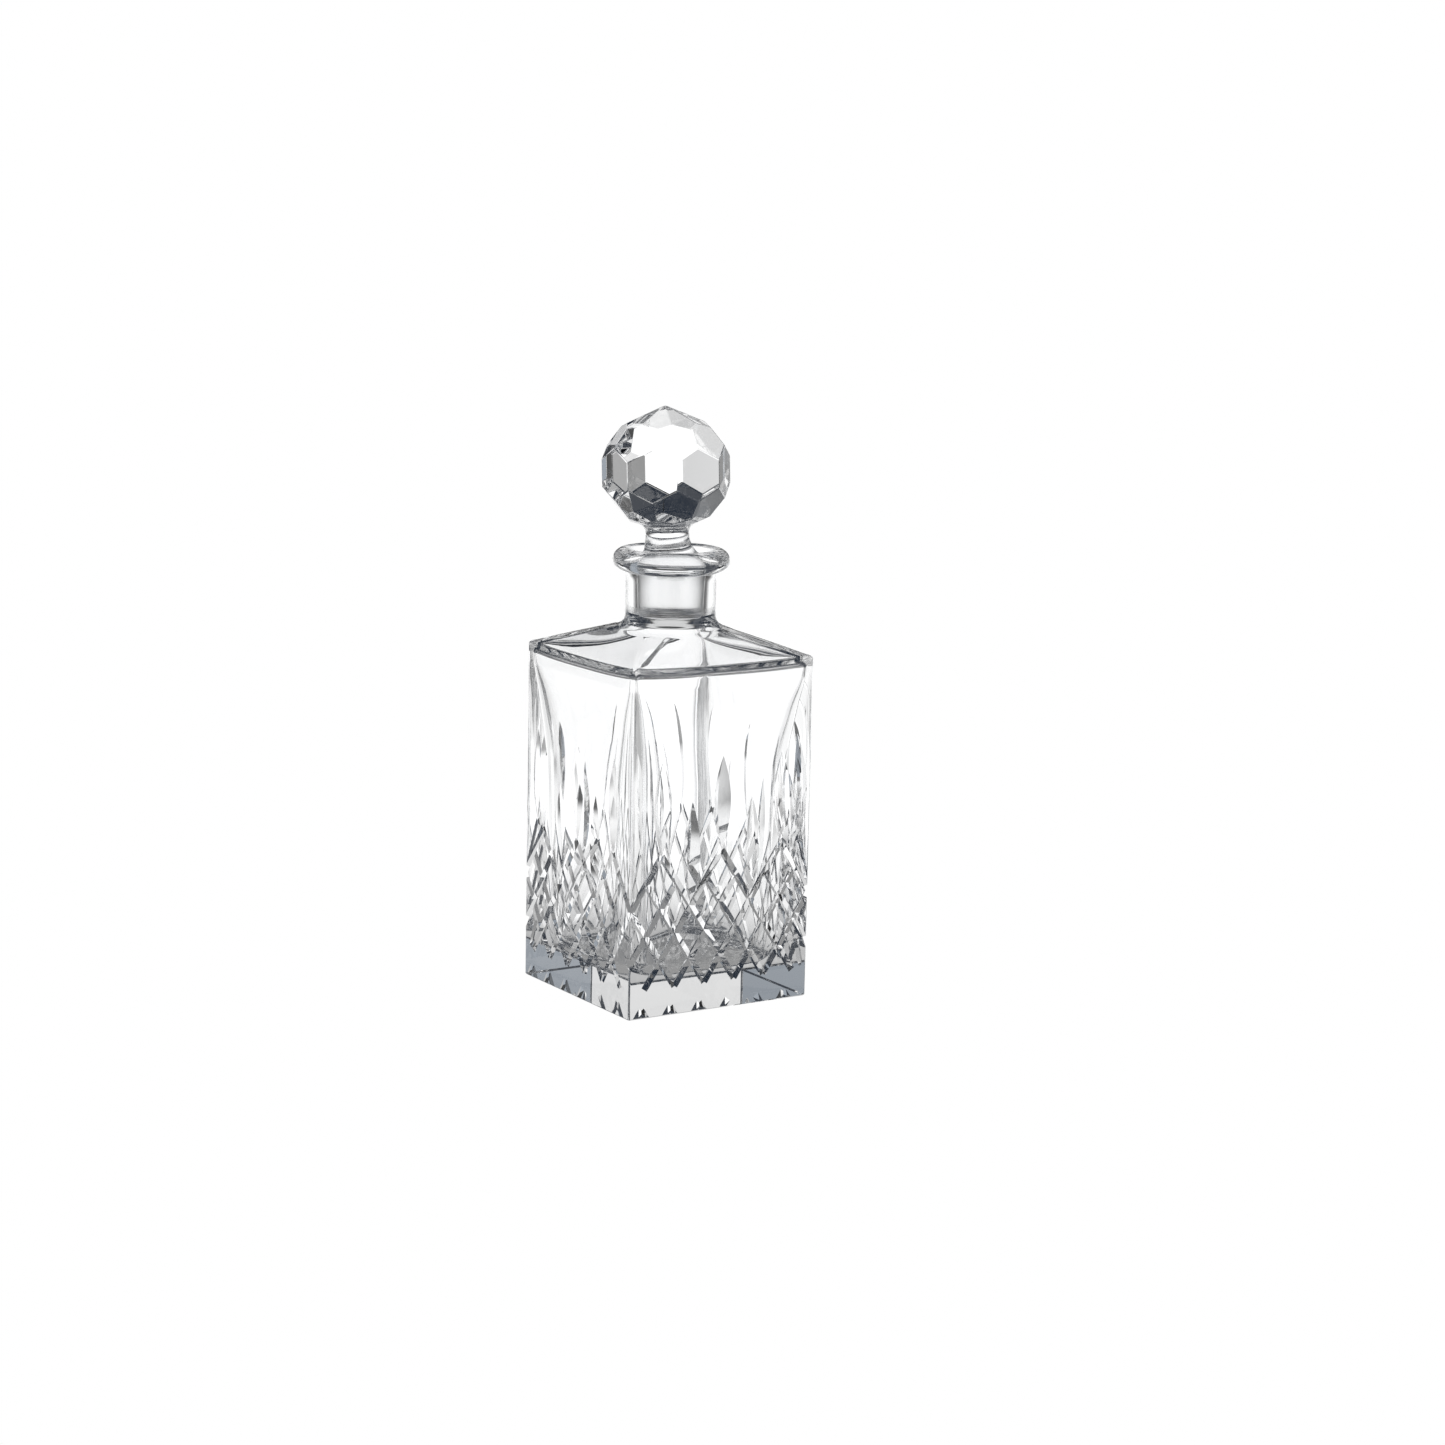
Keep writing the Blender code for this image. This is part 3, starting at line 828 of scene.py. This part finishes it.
def glow(name, strength, colour, white_to_camera):
    """Light that follows the mesh's own glow values, plain white where the camera sees it."""
    material = bpy.data.materials.new(name)
    material.use_nodes = True
    nodes = material.node_tree.nodes
    links = material.node_tree.links
    nodes.clear()
    output = nodes.new("ShaderNodeOutputMaterial")
    light = nodes.new("ShaderNodeEmission")
    light.inputs["Color"].default_value = colour
    share = nodes.new("ShaderNodeAttribute")
    share.attribute_name = "glow"
    level = nodes.new("ShaderNodeMath")
    level.operation = "MULTIPLY"
    level.inputs[1].default_value = strength
    links.new(share.outputs["Fac"], level.inputs[0])
    links.new(level.outputs[0], light.inputs["Strength"])
    if not white_to_camera:
        links.new(light.outputs[0], output.inputs["Surface"])
        return material
    path = nodes.new("ShaderNodeLightPath")
    seen = nodes.new("ShaderNodeEmission")
    mix = nodes.new("ShaderNodeMixShader")
    links.new(path.outputs["Is Camera Ray"], mix.inputs[0])
    links.new(light.outputs[0], mix.inputs[1])
    links.new(seen.outputs[0], mix.inputs[2])
    links.new(mix.outputs[0], output.inputs["Surface"])
    return material


def lit_grid(name, points, glows, wide, material):
    """A stage surface of rows of points, each point with its own share of the light."""
    faces = []
    for low in range(len(points) - wide):
        if (low + 1) % wide:
            faces.append((low, low + 1, low + wide + 1, low + wide))
    mesh = bpy.data.meshes.new(name)
    mesh.from_pydata(points, [], faces)
    shares = mesh.attributes.new("glow", "FLOAT", "POINT")
    shares.data.foreach_set("value", glows)
    mesh.materials.append(material)
    made = bpy.data.objects.new(name, mesh)
    bpy.context.scene.collection.objects.link(made)
    return made


def angle_between(first, second):
    """The smaller angle between two directions, in degrees."""
    return abs((first - second + 180) % 360 - 180)


def table_light(reach, azimuth):
    """Light that the table sends to the glass from one place: soft pools, a lit far side,
    painted shade close to the bottle and a painted shadow under its base.
    """
    turn = math.radians(azimuth)
    beside = math.hypot(reach * math.cos(turn) - POOL_X, reach * math.sin(turn) - POOL_Y)
    pool = ramp(beside, POOL_REACH, POOL_END, POOL_LEVEL, DARK_LEVEL)
    beyond = reach * max(abs(math.cos(turn)), abs(math.sin(turn)))
    # Painted shade: the glow is dimmed close to a spot just in front of the bottle
    close = math.hypot(reach * math.cos(turn) - NEAR_SHADE_X, reach * math.sin(turn) - NEAR_SHADE_Y)
    pool *= ramp(close, NEAR_SHADE_START, NEAR_SHADE_END, NEAR_SHADE_LEVEL, 1.0)
    # Painted shadow: the glow is dimmed under the bottle's base
    pool *= ramp(beyond, UNDER_SHADE_START, UNDER_SHADE_END, UNDER_SHADE_LEVEL, 1.0)
    offset = angle_between(azimuth, WINDOW_AZIMUTH)
    full = ramp(reach, WINDOW_NEAR, WINDOW_FAR, *WINDOW_FULL)
    end = ramp(reach, WINDOW_NEAR, WINDOW_FAR, *WINDOW_END)
    lit = [WINDOW_LEVEL * ramp(offset, full, end, 1.0, 0.0)]
    lit.append(ramp(reach, FAR_START, FAR_END, 0.0, FAR_LEVEL))
    for centre, full, end, level, last, gone in SIDE_POOLS:
        beam = level * ramp(angle_between(azimuth, centre), full, end, 1.0, 0.0)
        lit.append(beam * ramp(reach, last, gone, 1.0, 0.0))
    return max(pool, max(lit) * ramp(reach, LIT_START, LIT_END, 0.0, 1.0))


def make_floor():
    """The pale table top, whose glow for the glass holds painted pools of light, painted shade
    close to the bottle and a painted shadow under its base.
    """
    reaches = [0.0] + list(np.geomspace(FLOOR_FIRST, FLOOR_REACH, FLOOR_RINGS))
    points = []
    glows = []
    for reach in reaches:
        for step in range(FLOOR_TURNS + 1):
            azimuth = 360 * step / FLOOR_TURNS
            turn = math.radians(azimuth)
            points.append((reach * math.cos(turn), reach * math.sin(turn), FLOOR_LEVEL))
            glows.append(table_light(reach, azimuth))
    material = glow("studio_floor", 1.0, WHITE, True)
    lit_grid("floor", points, glows, FLOOR_TURNS + 1, material)


def panel(name, azimuth, half_width, side_fade, foot, top, top_fade, level, colour):
    """An upright lit surface behind or beside the bottle, its angles seen from the bottle."""
    points = []
    glows = []
    reach = half_width + side_fade
    rise = top + top_fade - PANEL_LOWEST
    for row in range(PANEL_ROWS + 1):
        degrees = PANEL_LOWEST + rise * row / PANEL_ROWS
        z = PANEL_EYE + PANEL_DISTANCE * math.tan(math.radians(degrees))
        for step in range(PANEL_STEPS + 1):
            offset = reach * (2 * step / PANEL_STEPS - 1)
            turn = math.radians(azimuth + offset)
            points.append((PANEL_DISTANCE * math.cos(turn), PANEL_DISTANCE * math.sin(turn), z))
            sides = eased((reach - abs(offset)) / side_fade)
            upper = eased((top + top_fade - degrees) / top_fade)
            lower = eased((degrees - foot) / PANEL_FOOT_FADE + 1.0)
            slope = 1.0 - PANEL_SLOPE * max(0.0, degrees) / top
            glows.append(sides * upper * lower * slope)
    made = lit_grid(name, points, glows, PANEL_STEPS + 1, glow(name, level, colour, False))
    made.visible_camera = False


def make_world():
    """White behind everything for the camera, a dim studio for the glass."""
    world = bpy.data.worlds.new("studio")
    bpy.context.scene.world = world
    world.use_nodes = True
    nodes = world.node_tree.nodes
    links = world.node_tree.links
    nodes.clear()
    output = nodes.new("ShaderNodeOutputWorld")
    path = nodes.new("ShaderNodeLightPath")
    white = nodes.new("ShaderNodeBackground")
    white.inputs["Color"].default_value = WHITE
    dim = nodes.new("ShaderNodeBackground")
    dim.inputs["Color"].default_value = DIM
    mix = nodes.new("ShaderNodeMixShader")
    links.new(path.outputs["Is Camera Ray"], mix.inputs[0])
    links.new(dim.outputs[0], mix.inputs[1])
    links.new(white.outputs[0], mix.inputs[2])
    links.new(mix.outputs[0], output.inputs["Surface"])


def make_camera():
    """The viewpoint: left of the front corner and a little above."""
    azimuth = math.radians(CAMERA_AZIMUTH)
    elevation = math.radians(CAMERA_ELEVATION)
    back = Vector(
        (
            math.sin(azimuth) * math.cos(elevation),
            -math.cos(azimuth) * math.cos(elevation),
            math.sin(elevation),
        )
    )
    ahead = -back
    right = ahead.cross(Vector((0.0, 0.0, 1.0))).normalized()
    aim = math.radians(CAMERA_AIM)
    ahead = ahead * math.cos(aim) + right * math.sin(aim)
    right = ahead.cross(Vector((0.0, 0.0, 1.0))).normalized()
    above = right.cross(ahead)
    roll = math.radians(CAMERA_ROLL)
    across = right * math.cos(roll) + above * math.sin(roll)
    upward = above * math.cos(roll) - right * math.sin(roll)
    turn = Matrix((across, upward, -ahead)).transposed()
    camera = bpy.data.objects.new("camera", bpy.data.cameras.new("camera"))
    camera.data.lens = CAMERA_LENS
    camera.data.sensor_width = SENSOR_WIDTH
    spot = Vector(CAMERA_TARGET) + back * CAMERA_DISTANCE
    camera.matrix_world = Matrix.Translation(spot) @ turn.to_4x4()
    bpy.context.scene.collection.objects.link(camera)
    bpy.context.scene.camera = camera


def main():
    """Dress both pieces and light them."""
    bottle = make_bottle()
    stopper = make_stopper()
    for piece, body, slot in (
        (bottle, "bottle", "bottle_crystal"),
        (stopper, "stopper", "stopper_crystal"),
    ):
        piece.data.materials.append(crystal(slot, POLISH_WAVES, 0.0))
        piece.data.materials.append(crystal(slot + "_ground", GRIND_RINGS, GROUND_ROUGHNESS))
        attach(piece, body)
        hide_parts(body)
    grind(bottle, SEAT_TOP_RADIUS + MM, SEAT_GROUND_TOP)
    grind(stopper, SEAT_TOP_RADIUS, GROUND_TOP)
    make_floor()
    make_world()
    panel("backdrop", *BACKDROP, WHITE)
    panel("side_card", *SIDE_CARD, COOL)
    panel("left_card", *LEFT_CARD, COOL)
    make_camera()
    scene = bpy.context.scene
    scene.view_settings.view_transform = "Standard"
    scene.cycles.transmission_bounces = LIGHT_BOUNCES
    scene.cycles.glossy_bounces = LIGHT_BOUNCES
    scene.cycles.max_bounces = LIGHT_BOUNCES


main()
